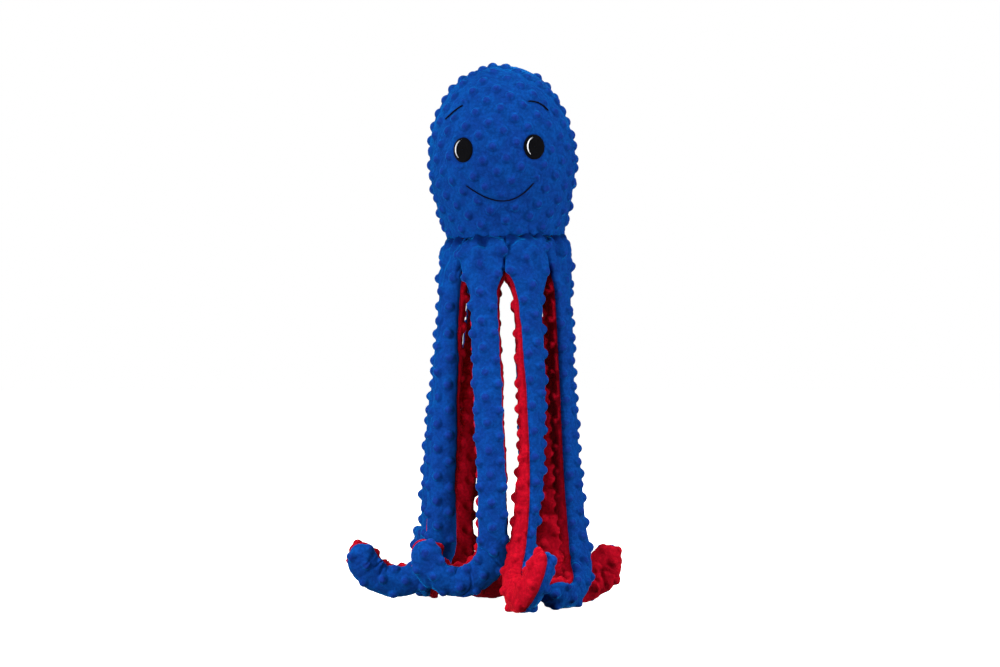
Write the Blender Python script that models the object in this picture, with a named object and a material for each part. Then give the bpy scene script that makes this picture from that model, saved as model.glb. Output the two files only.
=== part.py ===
"""Plush octopus toy with a stuffed head and eight stuffed arms, standing on its curled feet.

Metres, +Z up, and the face looks along -Y. The origin is the bottom centre of the whole toy's box.
Each arm is sewn from a blue outer strip and a red inner strip around a core of filling. It swings
on the seam under the head and bends at its middle.
"""

import math
from collections import namedtuple

import bmesh
import bpy
from mathutils import Matrix, Vector

# Driving dimensions
NECK_HEIGHT = 0.381        # floor to the seam under the head
HEAD_HEIGHT = 0.179        # neck seam to crown
HEAD_HALF_WIDTH = 0.077
HEAD_DEPTH_RATIO = 0.93    # front to back, as a share of the width
HEAD_WIDEST = 0.072        # height of the widest ring above the neck
NECK_TAPER = 0.22          # share of the half width lost between the widest ring and the neck
TAPER_POWER = 1.45
CROWN_POWER = 2.15         # superellipse power of the crown
HEAD_TILT = math.radians(-2.2)
HEAD_TURN = math.radians(-3.5)

WALL = 0.003               # plush with its pile
GAP = 0.0004               # clearance between touching pieces
CORE_GAP = 0.0008          # clearance around an arm's filling
SEAM_ANGLE = 0.0125        # half the seam clearance, in radians around a section

ARM_RING = 0.0555          # radius of the circle of arm centres at the neck
ARM_HALF_WIDTH = 0.0155
ARM_HALF_DEPTH = 0.013
TOP_FLARE = 0.0035         # extra half width where neighbouring arms are sewn together
FLARE_LENGTH = 0.16        # of the leg
FOOT_SWELL = 0.0020        # extra half width of the foot
FOOT_SWELL_END = 0.6       # where along the foot it is reached
NECK_GAP = 0.003           # lets the tilted head clear the arms' rounded tops
KNEE = 0.5                 # place of the bend, as a share of the leg
KNEE_REACH = 0.0158        # radius of the rounded end at the bend
SOLE_FLAT = 0.0015         # how far a foot is pressed flat by the floor
PIVOT_HEIGHT = NECK_HEIGHT - NECK_GAP - ARM_HALF_DEPTH
NECK_PULL = 0.24           # share of the height over which a leg keeps the direction of its ends
ANKLE_PULL = 0.28
NECK_FLARE = 0.006         # how far outwards a leg starts off

# The head's base, its filling's pocket and the squeaker in it
DISC_THICKNESS = 0.0025
POCKET_RADIUS = 0.027
POCKET_HEIGHT = 0.060
POCKET_SHOULDER = 0.8      # share of its height where the pocket starts to close
POCKET_ROOF = 0.7          # radius of its roof's edge, as a share
SQUEAKER_RADIUS = 0.021
SQUEAKER_PLEATS = 3
PLEAT_HEIGHT = 0.009
PLEAT_DEPTH = 0.004
SQUEAKER_WALL = 0.0015
NOZZLE_RADIUS = 0.0055
NOZZLE_LENGTH = 0.008

# The embroidered face
EYE_SPREAD = 0.0366        # half the distance between the eyes
EYE_HEIGHT = 0.089
EYE_HALF_WIDTH = 0.0102
EYE_HALF_HEIGHT = 0.0128
EYE_THICKNESS = 0.0009
GLEAM_ACROSS = 0.68        # radii of the gleam's arc, as shares of the eye's
GLEAM_UP = 0.76
GLEAM_START = 103          # degrees round the eye
GLEAM_SPAN = 132
GLEAM_TIP = 0.0003         # half width of the gleam at its ends
GLEAM_SWELL = 0.0008       # and how much more it is at its middle
LINE_THICKNESS = 0.001
LINE_HALF_WIDTH = 0.0009
MOUTH_HALF_WIDTH = 0.0348
MOUTH_HEIGHT = 0.0352
MOUTH_RISE = 0.0173
MOUTH_SKEW = 0.0035        # makes the smile fuller on one side

# A brow: its side, how far out its inner end is, its span, height, fall and how late it falls
Brow = namedtuple("Brow", "sign start span height fall power")
BROWS = {"brow_left": Brow(-1, 0.0355, 0.0195, 0.1352, 0.0127, 1.3),
         "brow_right": Brow(1, 0.0315, 0.0200, 0.1367, 0.0100, 2.6)}

UP = Vector((0.0, 0.0, 1.0))

# One arm: where it is sewn on (degrees around the neck, 0 in front), the point above its foot,
# where its toe points, how far and on what radii the foot curls, how far it leans and rolls over,
# how much further it faces round at its middle, its height over the floor, and the direction in
# which it swings out.
Arm = namedtuple("Arm", "name neck ankle toe turn curl lean roll bow lift swing")
ARMS = (
    Arm("side_left", -67.5, (-0.0655, -0.021), -90, 160, (0.055, 0.032), 14, 0, 0, 0.009, -90),
    Arm("front_left", -22.5, (-0.0125, -0.064), -90, 176, (0.042, 0.026), 13, 0, 0, 0.012, -15),
    Arm("front_right", 22.5, (0.0140, -0.069), 16, 171, (0.042, 0.039), 15, 0, 0, 0.0, 2),
    Arm("side_right", 67.5, (0.0740, -0.029), -36, 112, (0.038, 0.036), -12, 52, 14, 0.0, 78),
    Arm("rear_right", 112.5, (0.046, 0.026), 93, 174, (0.029, 0.030), 12, 0, 0, 0.0, 105),
    Arm("back_right", 157.5, (0.032, 0.068), 155, 140, (0.038, 0.026), 0, 0, 0, 0.0, 155),
    Arm("back_left", -157.5, (-0.0485, 0.060), 112, 140, (0.038, 0.026), 6, 0, 0, 0.0, 175),
    Arm("rear_left", -112.5, (-0.0765, 0.036), -173, 184, (0.046, 0.037), 0, 0, 0, 0.0, -118),
)

# A place along an arm: its frame, its half sizes, and how far round a rounded end it lies
Station = namedtuple("Station", "point along out side half_width half_depth cap reach")

STRIP_SEGMENTS = 4
RING_SEGMENTS = 2 * STRIP_SEGMENTS
CAP_ANGLES = (40, 76)
UPPER_SHARES = (0.0, 0.16, 0.5, 1.0)
LOWER_SHARES = (0.0, 0.3, 0.65, 1.0)
FOOT_STEPS = 7
PANEL_SEGMENTS = 12


def heading(degrees):
    """Level unit vector, 0 degrees to the front and 90 to the toy's +X side."""
    angle = math.radians(degrees)
    return Vector((math.sin(angle), -math.cos(angle), 0.0))


def ease(share):
    share = min(1.0, max(0.0, share))
    return share * share * (3 - 2 * share)


# ---------------------------------------------------------------- arm centre line

def half_sizes(share):
    """Half width and half depth of an arm; 0 is the neck, 1 the ankle and 2 the toe."""
    flare = TOP_FLARE * math.exp(-(share / FLARE_LENGTH) ** 2)
    swell = FOOT_SWELL * ease((share - 1) / FOOT_SWELL_END)
    return ARM_HALF_WIDTH + flare + swell, ARM_HALF_DEPTH


def foot_frame(arm):
    """Unit vectors of a foot: its blue side, the way down the leg, and the way to the toe."""
    lean = math.radians(arm.lean)
    across = heading(arm.toe + 90)
    out = across * math.cos(lean) - UP * math.sin(lean)
    down = -UP * math.cos(lean) - across * math.sin(lean)
    return out, down, heading(arm.toe)


def foot_stations(arm, steps):
    """The foot from its ankle, taken as zero, to its toe; it curls in the plane it leans in."""
    out, down, toe = foot_frame(arm)
    turn = math.radians(arm.turn) / steps
    first, last = arm.curl
    point = Vector()
    stations = []
    for step in range(steps + 1):
        share = step / steps
        angle = step * turn
        along = math.cos(angle) * down + math.sin(angle) * toe
        side = math.cos(angle) * toe - math.sin(angle) * down
        roll = math.radians(arm.roll) * ease(share)
        rolled_out = out * math.cos(roll) - side * math.sin(roll)
        rolled_side = side * math.cos(roll) + out * math.sin(roll)
        sizes = half_sizes(1 + share)
        stations.append(Station(point, along, rolled_out, rolled_side, *sizes, 0.0, 0.0))
        middle = angle + turn / 2
        radius = first + (last - first) * (share + 0.5 / steps)
        point = point + radius * turn * (math.cos(middle) * down + math.sin(middle) * toe)
    return stations


def ankle_point(arm):
    """The ankle, at the height that sets the foot's lowest point on the floor."""
    lowest = min(station.point.z - math.hypot(station.half_width * station.side.z,
                                              station.half_depth * station.out.z)
                 for station in foot_stations(arm, 4 * FOOT_STEPS))
    return Vector((*arm.ankle, arm.lift - SOLE_FLAT - lowest))


def leg_station(arm, share):
    """The leg at a share of its way from the neck pivot down to the ankle."""
    out, down, _ = foot_frame(arm)
    start = heading(arm.neck) * ARM_RING + UP * PIVOT_HEIGHT
    end = ankle_point(arm)
    length = start.z - end.z
    first = start - UP * length * NECK_PULL + heading(arm.neck) * NECK_FLARE
    second = end - down * length * ANKLE_PULL
    rest = 1 - share
    point = (rest**3 * start + 3 * rest**2 * share * first
             + 3 * rest * share**2 * second + share**3 * end)
    along = (rest**2 * (first - start) + 2 * rest * share * (second - first)
             + share**2 * (end - second)).normalized()
    twist = (arm.toe + 90 - arm.neck + 180) % 360 - 180
    bow = arm.bow * math.sin(math.pi * share)
    facing = heading(arm.neck + twist * share + bow) + UP * out.z * share
    facing = (facing - along * facing.dot(along)).normalized()
    return Station(point, along, facing, along.cross(facing), *half_sizes(share), 0.0, 0.0)


def rounded_end(station, direction, reach):
    """Stations of a rounded end, from the outermost inwards; direction is +1 to the toe."""
    return [station._replace(cap=direction * math.radians(angle), reach=reach)
            for angle in reversed(CAP_ANGLES)]


def upper_stations(arm):
    """From the rounded top at the neck pivot down to a flat end above the bend."""
    length = PIVOT_HEIGHT - ankle_point(arm).z
    end = KNEE - (KNEE_REACH + 2 * GAP) / length
    legs = [leg_station(arm, share * end) for share in UPPER_SHARES]
    return rounded_end(legs[0], -1, ARM_HALF_DEPTH) + legs


def lower_stations(arm):
    """From the rounded end at the bend down to the rounded toe."""
    legs = [leg_station(arm, KNEE + (1 - KNEE) * share) for share in LOWER_SHARES]
    ankle = ankle_point(arm)
    feet = [station._replace(point=ankle + station.point)
            for station in foot_stations(arm, FOOT_STEPS)[1:]]
    toe = list(reversed(rounded_end(feet[-1], 1, feet[-1].half_width)))
    return rounded_end(legs[0], -1, KNEE_REACH) + legs + feet + toe


# ---------------------------------------------------------------- lofting

def section(station, inset, angles):
    """Points of an arm's section at the given angles, set in from its surface."""
    squeeze = math.cos(station.cap)
    centre = station.point + station.along * math.sin(station.cap) * (station.reach - inset)
    width = (station.half_width - inset) * squeeze
    depth = (station.half_depth - inset) * squeeze
    return [centre + station.side * width * math.cos(angle) + station.out * depth * math.sin(angle)
            for angle in angles]


def strip_section(station, start):
    """Closed section of a half-round strip of fabric that begins at the given angle."""
    span = math.pi - 2 * SEAM_ANGLE
    angles = [start + SEAM_ANGLE + span * step / STRIP_SEGMENTS
              for step in range(STRIP_SEGMENTS + 1)]
    return section(station, 0.0, angles) + section(station, WALL, angles)[::-1]


def loft(rings, cap):
    """Closed bmesh through rings of equal length; cap names the way its two ends are closed."""
    shape = bmesh.new()
    rows = [[shape.verts.new(point) for point in ring] for ring in rings]
    count = len(rows[0])
    for lower, upper in zip(rows, rows[1:]):
        for index in range(count):
            after = (index + 1) % count
            corners = [lower[index], lower[after], upper[after], upper[index]]
            if cap == "band" and index >= count // 2:
                # the inner face runs backwards, so its diagonals are mirrored to match the core's
                corners = corners[1:] + corners[:1]
            shape.faces.new((corners[0], corners[1], corners[2]))
            shape.faces.new((corners[0], corners[2], corners[3]))
    for row in (rows[0], rows[-1]):
        if cap == "flat":
            shape.faces.new(row)
        elif cap == "band":
            for index in range(count // 2 - 1):
                shape.faces.new((row[index], row[index + 1], row[-index - 2], row[-index - 1]))
    bmesh.ops.recalc_face_normals(shape, faces=shape.faces)
    return shape


def close_poles(shape):
    """Merge rings that have shrunk to a point into one vertex."""
    bmesh.ops.remove_doubles(shape, verts=shape.verts, dist=0.00005)
    bmesh.ops.recalc_face_normals(shape, faces=shape.faces)


def press_on_floor(shape):
    """Cut away what lies below the floor and close the cut with a flat sole."""
    geometry = shape.verts[:] + shape.edges[:] + shape.faces[:]
    bmesh.ops.bisect_plane(shape, geom=geometry, plane_co=(0, 0, 0), plane_no=(0, 0, 1),
                           clear_inner=True)
    open_edges = [edge for edge in shape.edges if edge.is_boundary]
    if open_edges:
        bmesh.ops.holes_fill(shape, edges=open_edges, sides=0)


def add_object(name, shape, material, parent, origin):
    """Object from a bmesh in toy coordinates, with its origin moved to the given point."""
    bmesh.ops.transform(shape, matrix=Matrix.Translation(-origin), verts=shape.verts)
    mesh = bpy.data.meshes.new(name)
    shape.to_mesh(mesh)
    shape.free()
    mesh.materials.append(material)
    mesh.shade_smooth()
    mesh.set_sharp_from_angle(angle=math.radians(50))
    item = bpy.data.objects.new(name, mesh)
    item.parent = parent
    bpy.context.collection.objects.link(item)
    return item


def add_pivot(name, parent, place, parent_place):
    """Empty on a joint's axis, placed from its parent's own place."""
    pivot = bpy.data.objects.new(name, None)
    pivot.empty_display_size = 0.02
    pivot.parent = parent
    pivot.location = place - parent_place
    bpy.context.collection.objects.link(pivot)
    return pivot


# ---------------------------------------------------------------- arms

def add_arm_half(prefix, stations, materials, pivot, origin, on_floor):
    """Outer strip, inner strip and filling of one half of an arm."""
    for label, start, colour in (("outer", 0.0, "blue"), ("inner", math.pi, "red")):
        strip = loft([strip_section(station, start) for station in stations], "band")
        if on_floor:
            press_on_floor(strip)
        add_object(f"{prefix}_{label}_cover", strip, materials[colour], pivot, origin)

    angles = [math.tau * step / RING_SEGMENTS for step in range(RING_SEGMENTS)]
    rings = [section(station, WALL + CORE_GAP, angles) for station in stations]
    capped = [station for station in (stations[0], stations[-1]) if station.cap]
    for station in capped:
        pole = station._replace(cap=math.copysign(math.pi / 2, station.cap))
        ring = section(pole, WALL + CORE_GAP, angles)
        if station is stations[0]:
            rings.insert(0, ring)
        else:
            rings.append(ring)
    core = loft(rings, "flat" if len(capped) < 2 else "open")
    close_poles(core)
    add_object(f"{prefix}_filling", core, materials["filling"], pivot, origin)


def add_arm(arm, materials, toy):
    neck = leg_station(arm, 0.0).point
    knee = leg_station(arm, KNEE).point
    swing = add_pivot(f"{arm.name}_swing_pivot", toy, neck, Vector())
    bend = add_pivot(f"{arm.name}_bend_pivot", swing, knee, neck)
    prefix = f"arm_{arm.name}"
    add_arm_half(f"{prefix}_upper", upper_stations(arm), materials, swing, neck, False)
    add_arm_half(f"{prefix}_lower", lower_stations(arm), materials, bend, knee, True)


# ---------------------------------------------------------------- head

def head_radius(height, inset=0.0):
    """Half width of the head at a height above the neck, set in from its surface."""
    widest = HEAD_HALF_WIDTH - inset
    if height < HEAD_WIDEST:
        return widest * (1 - NECK_TAPER * ((HEAD_WIDEST - height) / HEAD_WIDEST) ** TAPER_POWER)
    rise = min(1.0, (height - HEAD_WIDEST) / (HEAD_HEIGHT - HEAD_WIDEST - inset))
    return widest * (1 - rise**CROWN_POWER) ** (1 / CROWN_POWER)


def head_profile(inset, low, last_angle):
    """(radius, height) pairs from the neck to near the crown."""
    below = [low + (HEAD_WIDEST - low) * step / 4 for step in range(4)]
    pairs = [(head_radius(height, inset), height) for height in below]
    crown = HEAD_HEIGHT - HEAD_WIDEST - inset
    for angle in (0, 16, 32, 47, 61, 74, last_angle):
        rise = math.sin(math.radians(angle)) ** (2 / CROWN_POWER)
        pairs.append((head_radius(HEAD_WIDEST + crown * rise, inset), HEAD_WIDEST + crown * rise))
    return pairs


def head_frame():
    """Places the head's own frame on the neck, tilted and turned a little."""
    return (Matrix.Translation((0, 0, NECK_HEIGHT)) @ Matrix.Rotation(HEAD_TILT, 4, "Y")
            @ Matrix.Rotation(HEAD_TURN, 4, "Z"))


def head_ring(radius, height, angles):
    return [Vector((radius * math.sin(angle), -HEAD_DEPTH_RATIO * radius * math.cos(angle), height))
            for angle in angles]


def add_head_piece(name, shape, material, parent):
    bmesh.ops.transform(shape, matrix=head_frame(), verts=shape.verts)
    return add_object(name, shape, material, parent, Vector())


def add_head_panels(materials, toy):
    """Front and back halves of the head's skin, sewn together down both sides."""
    outer = head_profile(0.0, 0.0, 88)
    inner = head_profile(WALL, 0.0, 88)
    span = math.pi - 2 * SEAM_ANGLE / 4
    for name, middle in (("head_front_panel", 0.0), ("head_back_panel", math.pi)):
        angles = [middle + span * (step / PANEL_SEGMENTS - 0.5)
                  for step in range(PANEL_SEGMENTS + 1)]
        rings = [head_ring(*large, angles) + head_ring(*small, angles)[::-1]
                 for large, small in zip(outer, inner)]
        add_head_piece(name, loft(rings, "band"), materials["blue"], toy)


def turned(pairs, segments, squash=1.0):
    """Solid of revolution through (radius, height) pairs; both ends lie on the axis."""
    angles = [math.tau * step / segments for step in range(segments)]
    rings = [[Vector((radius * math.cos(angle), squash * radius * math.sin(angle), height))
              for angle in angles] for radius, height in pairs]
    shape = loft(rings, "open")
    close_poles(shape)
    return shape


def add_head_core(materials, toy):
    """Base disc across the neck, and the filling with a pocket for the squeaker."""
    neck_radius = head_radius(0.0, WALL) - GAP
    disc = [(0.0, GAP), (neck_radius, GAP), (neck_radius, GAP + DISC_THICKNESS),
            (0.0, GAP + DISC_THICKNESS)]
    add_head_piece("neck_base_disc", turned(disc, 24, HEAD_DEPTH_RATIO), materials["red"], toy)

    floor = DISC_THICKNESS + 2 * GAP
    skin = head_profile(WALL + 2 * GAP, floor, 84)
    crown = HEAD_HEIGHT - WALL - 2 * GAP
    pocket = [(POCKET_RADIUS, floor), (POCKET_RADIUS, POCKET_HEIGHT * POCKET_SHOULDER),
              (POCKET_RADIUS * POCKET_ROOF, POCKET_HEIGHT), (0.0, POCKET_HEIGHT)]
    pairs = [(0.0, crown)] + skin[::-1] + pocket
    add_head_piece("head_filling", turned(pairs, 24, HEAD_DEPTH_RATIO), materials["filling"], toy)


def add_squeaker(materials, toy):
    """Pleated bellows with a reed nozzle on top, open at the nozzle."""
    base = DISC_THICKNESS + 4 * GAP
    shoulder = base + SQUEAKER_PLEATS * PLEAT_HEIGHT
    outside = [(0.0, base)]
    inside = []
    for pleat in range(2 * SQUEAKER_PLEATS + 1):
        radius = SQUEAKER_RADIUS - PLEAT_DEPTH * (pleat % 2 == 0)
        height = base + pleat * PLEAT_HEIGHT / 2
        outside.append((radius, height))
        inside.append((radius - SQUEAKER_WALL, height))
    inside[0] = (inside[0][0], base + SQUEAKER_WALL)
    inside[-1] = (inside[-1][0], shoulder - SQUEAKER_WALL)
    bore = NOZZLE_RADIUS - SQUEAKER_WALL
    nozzle = [(NOZZLE_RADIUS, shoulder), (NOZZLE_RADIUS, shoulder + NOZZLE_LENGTH),
              (bore, shoulder + NOZZLE_LENGTH), (bore, shoulder - SQUEAKER_WALL)]
    pairs = outside + nozzle + inside[::-1] + [(0.0, base + SQUEAKER_WALL)]
    add_head_piece("squeaker", turned(pairs, 16), materials["squeaker"], toy)


# ---------------------------------------------------------------- embroidered face

def on_face(across, height, proud):
    """Point over the front of the head at (across, height), stood off its surface."""
    def surface(x, z):
        depth = math.sqrt(max(0.0, head_radius(z) ** 2 - x * x))
        return Vector((x, -HEAD_DEPTH_RATIO * depth, z))

    step = 0.0005
    slope_x = surface(across + step, height) - surface(across - step, height)
    slope_z = surface(across, height + step) - surface(across, height - step)
    return surface(across, height) + slope_x.cross(slope_z).normalized() * proud


def add_eye(name, centre, materials, toy):
    """Oval satin-stitched patch."""
    rings = []
    for share, proud in ((0.0, GAP), (0.5, GAP), (1.0, GAP), (1.0, GAP + EYE_THICKNESS),
                         (0.5, GAP + EYE_THICKNESS), (0.0, GAP + EYE_THICKNESS)):
        angles = [math.tau * step / 20 for step in range(20)]
        rings.append([on_face(centre + share * EYE_HALF_WIDTH * math.cos(angle),
                              EYE_HEIGHT + share * EYE_HALF_HEIGHT * math.sin(angle), proud)
                      for angle in angles])
    shape = loft(rings, "open")
    close_poles(shape)
    add_head_piece(name, shape, materials["black"], toy)


def add_line(name, route, half_width, low, material, toy, steps=12):
    """Line of satin stitch along route(share), which gives its place across and up the face."""
    rings = []
    for step in range(steps + 1):
        share = step / steps
        x, z = route(share)
        ahead = Vector(route(share + 0.01)) - Vector(route(share - 0.01))
        normal = Vector((-ahead.y, ahead.x)).normalized() * half_width(share)
        rings.append([on_face(x + normal.x, z + normal.y, low),
                      on_face(x - normal.x, z - normal.y, low),
                      on_face(x - normal.x, z - normal.y, low + LINE_THICKNESS),
                      on_face(x + normal.x, z + normal.y, low + LINE_THICKNESS)])
    add_head_piece(name, loft(rings, "flat"), material, toy)


def add_face(materials, toy):
    def even(_):
        return LINE_HALF_WIDTH

    def smile(share):
        across = 2 * share - 1
        skew = MOUTH_SKEW * (across - across**3)
        return MOUTH_HALF_WIDTH * across, MOUTH_HEIGHT + MOUTH_RISE * across**2 - skew

    def brow(shape):
        def route(share):
            fall = shape.fall * max(0.0, share) ** shape.power
            return shape.sign * (shape.start + shape.span * share), shape.height - fall
        return route

    def gleam(centre):
        def route(share):
            angle = math.radians(GLEAM_START + GLEAM_SPAN * share)
            return (centre + GLEAM_ACROSS * EYE_HALF_WIDTH * math.cos(angle),
                    EYE_HEIGHT + GLEAM_UP * EYE_HALF_HEIGHT * math.sin(angle))
        return route

    def crescent(share):
        return GLEAM_TIP + GLEAM_SWELL * math.sin(math.pi * min(1.0, max(0.0, share)))

    over_eye = 2 * GAP + EYE_THICKNESS
    for side, sign in (("left", -1), ("right", 1)):
        centre = sign * EYE_SPREAD
        add_eye(f"eye_{side}", centre, materials, toy)
        add_line(f"eye_gleam_{side}", gleam(centre), crescent, over_eye, materials["white"], toy)
    for name, shape in BROWS.items():
        add_line(name, brow(shape), even, GAP, materials["black"], toy)
    add_line("smile", smile, even, GAP, materials["black"], toy, steps=20)


# ---------------------------------------------------------------- assembly

def make_materials():
    materials = {}
    for name, colour, roughness in (
            ("blue", (0.012, 0.072, 0.36), 0.95),
            ("red", (0.55, 0.008, 0.022), 0.95),
            ("filling", (0.86, 0.86, 0.84), 1.0),
            ("black", (0.006, 0.007, 0.012), 0.6),
            ("white", (0.82, 0.83, 0.85), 0.6),
            ("squeaker", (0.8, 0.74, 0.6), 0.45)):
        material = bpy.data.materials.new(name)
        material.use_nodes = True
        shader = material.node_tree.nodes["Principled BSDF"]
        shader.inputs["Base Color"].default_value = (*colour, 1.0)
        shader.inputs["Roughness"].default_value = roughness
        materials[name] = material
    return materials


def centre_on_box(toy):
    """Move the toy so that the bottom centre of its box is the origin."""
    bpy.context.view_layer.update()
    corners = [item.matrix_world @ vertex.co for item in bpy.data.objects if item.type == "MESH"
               for vertex in item.data.vertices]
    for axis in (0, 1):
        places = [corner[axis] for corner in corners]
        toy.location[axis] = -(min(places) + max(places)) / 2


def main():
    for item in list(bpy.data.objects):
        bpy.data.objects.remove(item, do_unlink=True)
    materials = make_materials()
    toy = bpy.data.objects.new("toy_frame", None)
    bpy.context.collection.objects.link(toy)
    add_head_panels(materials, toy)
    add_head_core(materials, toy)
    add_squeaker(materials, toy)
    add_face(materials, toy)
    for arm in ARMS:
        add_arm(arm, materials, toy)
    centre_on_box(toy)


main()
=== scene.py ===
"""Looks of the plush octopus: dimple plush over the head and eight arms, and an embroidered face.

Everything is in metres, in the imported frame. The arms and the head are drawn from the same
dimensions as the CAD parts, in "toy" coordinates: Z runs up the middle of the neck from the floor.
"""

import math
from collections import namedtuple

import bpy
import numpy as np
from mathutils import Matrix, Vector
from mathutils.kdtree import KDTree


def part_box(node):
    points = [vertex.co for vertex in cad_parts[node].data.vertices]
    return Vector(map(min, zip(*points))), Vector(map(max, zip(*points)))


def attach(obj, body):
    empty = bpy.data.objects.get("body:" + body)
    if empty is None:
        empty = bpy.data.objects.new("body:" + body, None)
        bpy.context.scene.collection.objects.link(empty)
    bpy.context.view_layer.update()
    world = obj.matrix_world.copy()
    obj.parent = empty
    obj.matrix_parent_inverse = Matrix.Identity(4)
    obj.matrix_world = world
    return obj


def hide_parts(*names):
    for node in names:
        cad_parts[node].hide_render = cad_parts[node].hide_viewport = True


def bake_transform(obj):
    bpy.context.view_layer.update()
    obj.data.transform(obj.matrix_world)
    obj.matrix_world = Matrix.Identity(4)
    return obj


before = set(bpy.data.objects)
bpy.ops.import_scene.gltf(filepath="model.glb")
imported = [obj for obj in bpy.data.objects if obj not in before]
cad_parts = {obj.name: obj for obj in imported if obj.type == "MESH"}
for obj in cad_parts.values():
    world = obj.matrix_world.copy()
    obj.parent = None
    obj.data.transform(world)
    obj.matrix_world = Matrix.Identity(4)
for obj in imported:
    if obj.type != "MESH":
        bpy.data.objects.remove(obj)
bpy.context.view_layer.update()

# ---------------------------------------------------------------- dimensions shared with the CAD

NECK_HEIGHT = 0.381
HEAD_HEIGHT = 0.179
HEAD_HALF_WIDTH = 0.077
HEAD_DEPTH_RATIO = 0.93
HEAD_WIDEST = 0.072
NECK_TAPER = 0.22
TAPER_POWER = 1.45
CROWN_POWER = 2.15
HEAD_TILT = math.radians(-2.2)
HEAD_TURN = math.radians(-3.5)

ARM_RING = 0.0555
ARM_HALF_WIDTH = 0.0155
ARM_HALF_DEPTH = 0.013
NECK_PULL = 0.24           # how far the leg keeps the direction of its ends
ANKLE_PULL = 0.28
NECK_FLARE = 0.006         # how far outwards the leg starts off
FOOT_SWELL = 0.0020        # extra half width of the foot
SOLE_FLAT = 0.0015
PIVOT_DROP = 0.016         # neck seam down to the arms' swing axes
PIVOT_HEIGHT = NECK_HEIGHT - PIVOT_DROP

EYE_SPREAD = 0.0366
EYE_HEIGHT = 0.089
EYE_HALF_WIDTH = 0.0102
EYE_HALF_HEIGHT = 0.0128
MOUTH_HALF_WIDTH = 0.0348
MOUTH_HEIGHT = 0.0352
MOUTH_RISE = 0.0173
MOUTH_SKEW = 0.0035

# A brow: its side, how far out its inner end is, its span, height, fall and how late it falls
Brow = namedtuple("Brow", "sign start span height fall power")
BROWS = {"brow_left": Brow(-1, 0.0355, 0.0195, 0.1352, 0.0127, 1.3),
         "brow_right": Brow(1, 0.0315, 0.0200, 0.1367, 0.0100, 2.6)}

# One arm: where it is sewn on (degrees around the neck, 0 in front), the point above its foot,
# where its toe points, how far and on what radii the foot curls, how far it leans and rolls over,
# how much further it faces round at its middle, and its height over the floor.
Arm = namedtuple("Arm", "name neck ankle toe turn curl lean roll bow lift")
ARMS = (
    Arm("side_left", -67.5, (-0.0655, -0.021), -90, 160, (0.055, 0.032), 14, 0, 0, 0.009),
    Arm("front_left", -22.5, (-0.0125, -0.064), -90, 176, (0.042, 0.026), 13, 0, 0, 0.012),
    Arm("front_right", 22.5, (0.0140, -0.069), 16, 171, (0.042, 0.039), 15, 0, 0, 0.0),
    Arm("side_right", 67.5, (0.0740, -0.029), -36, 112, (0.038, 0.036), -12, 52, 14, 0.0),
    Arm("rear_right", 112.5, (0.046, 0.026), 93, 174, (0.029, 0.030), 12, 0, 0, 0.0),
    Arm("back_right", 157.5, (0.032, 0.068), 155, 140, (0.038, 0.026), 0, 0, 0, 0.0),
    Arm("back_left", -157.5, (-0.0485, 0.060), 112, 140, (0.038, 0.026), 6, 0, 0, 0.0),
    Arm("rear_left", -112.5, (-0.0765, 0.036), -173, 184, (0.046, 0.037), 0, 0, 0, 0.0),
)

UP = Vector((0.0, 0.0, 1.0))
disc_low, disc_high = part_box("neck_base_disc")
AXIS = Vector(((disc_low[0] + disc_high[0]) / 2, (disc_low[1] + disc_high[1]) / 2, 0.0))

# ---------------------------------------------------------------- the cloth

# A pair of numbers called a span gives where something starts to change and where it ends.

CLOTH_STEP = 0.00125       # spacing of the fine grids
DOT_PITCH = 0.013          # half the spacing of dots in a row, and the spacing between rows
DOT_RADIUS = 0.0056
DOT_POWER = 0.8            # of a dot's profile: below 1 its top is flatter
DOT_SHADE_RING_WIDTH = 0.0012        # width of the ring of shade painted round a dot
HEAD_DOT_HEIGHT = 0.0036
ARM_DOT_HEIGHT = 0.0041
DOT_SCATTER = 0.0007       # how unevenly the dots are placed
ARM_SCATTER_ACROSS = 0.0006
SEAM_DEPTH = 0.0016
SEAM_WIDTH = 0.0022
SEAM_FLATTENING = 0.8      # of the dots beside a seam, as a share
SEAM_SHADE = 0.6           # how dark the shade painted into the seams is, as a share, and so for the other painted shades
DOT_RING_SHADE = 0.3

# A random field is a sum of waves: how many, what their sum is divided by, and how their lengths vary
FIELD_WAVES = 7
FIELD_LEVEL = 4
FIELD_VARIETY = (0.65, 1.35)

# Gathers round a neck: how many, how high, where they fade out, how much they flatten the dots,
# their shade, and how far they wander, with the size and the seed of that random field
Pleats = namedtuple("Pleats", "count height span flattening shade wander size seed")
HEAD_PLEATS = Pleats(34, 0.0006, (0.003, 0.019), 0.4, 0.2, 3, 0.04, 9)
ARM_PLEATS = Pleats(11, 0.0012, (0.0, 0.020), 0.2, 0.3, 3, 0.05, 7)

# Lumps of filling: how high and how large they are, how much shorter along each axis, and a seed
Lumps = namedtuple("Lumps", "height size shorter seed")
HEAD_LUMPS = (Lumps(0.0011, 0.070, (1, 1, 1), 11), Lumps(0.0004, 0.020, (1, 1, 1), 12))
ARM_LUMPS = (Lumps(0.0010, 0.045, (1, 1, 1), 0), Lumps(0.0006, 0.026, (1, 1, 2.2), 20))
SKIRT_LUMPS = (Lumps(0.0026, 0.017, (1.6, 1.6, 0.7), 120),)

SKIRT_RADIUS = 0.0565      # of the ring of the arms' flattened tops, under the head

# ---------------------------------------------------------------- the head's looks

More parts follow.
